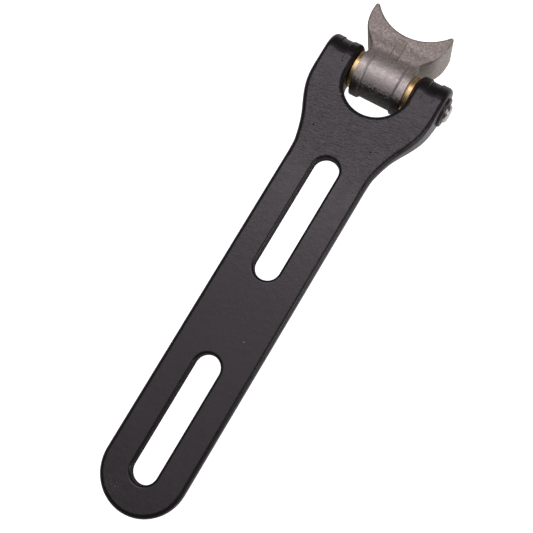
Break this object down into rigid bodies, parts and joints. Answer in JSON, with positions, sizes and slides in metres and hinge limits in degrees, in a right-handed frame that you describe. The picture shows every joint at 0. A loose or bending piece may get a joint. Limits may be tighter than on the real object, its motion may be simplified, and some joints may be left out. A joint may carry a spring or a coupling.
{
  "type": "seat hinge",
  "caption": "Slotted seat bar with a forked end; a weld-on saddle mount with flanged bronze bushes turns on a pin between its ears.",
  "frame": {"origin": "centre of the two-slot pattern, on the flat face of the bar", "axes": "+X along the hinge pin towards the washered end, +Y along the bar towards the frame mount, +Z out of the flat face"},
  "size_m": [0.0518, 0.2037, 0.0186],
  "materials": {
    "bar_coating": "semi-gloss black powder coat on forged steel",
    "cast_steel": "raw investment-cast steel, fine grain",
    "bronze": "turned bronze",
    "ground_steel": "ground steel",
    "plated_steel": "zinc plated steel",
    "black_washer": "black coated steel",
    "copper_ring": "copper"
  },
  "bodies": {
    "bar": {"seat_bar": "bar_coating", "pivot_pin": "plated_steel", "pivot_sleeve": "ground_steel", "end_washer": "black_washer", "end_ring": "copper_ring"},
    "mount": {"frame_mount": "cast_steel", "bush_left": "bronze", "bush_right": "bronze"}
  },
  "joints": [
    {"name": "mount_hinge", "type": "hinge", "parent": "bar", "child": "mount", "pos_m": [0, 0.1033, -0.0088], "axis": [1, 0, 0], "range_deg": [-100, 100]}
  ]
}
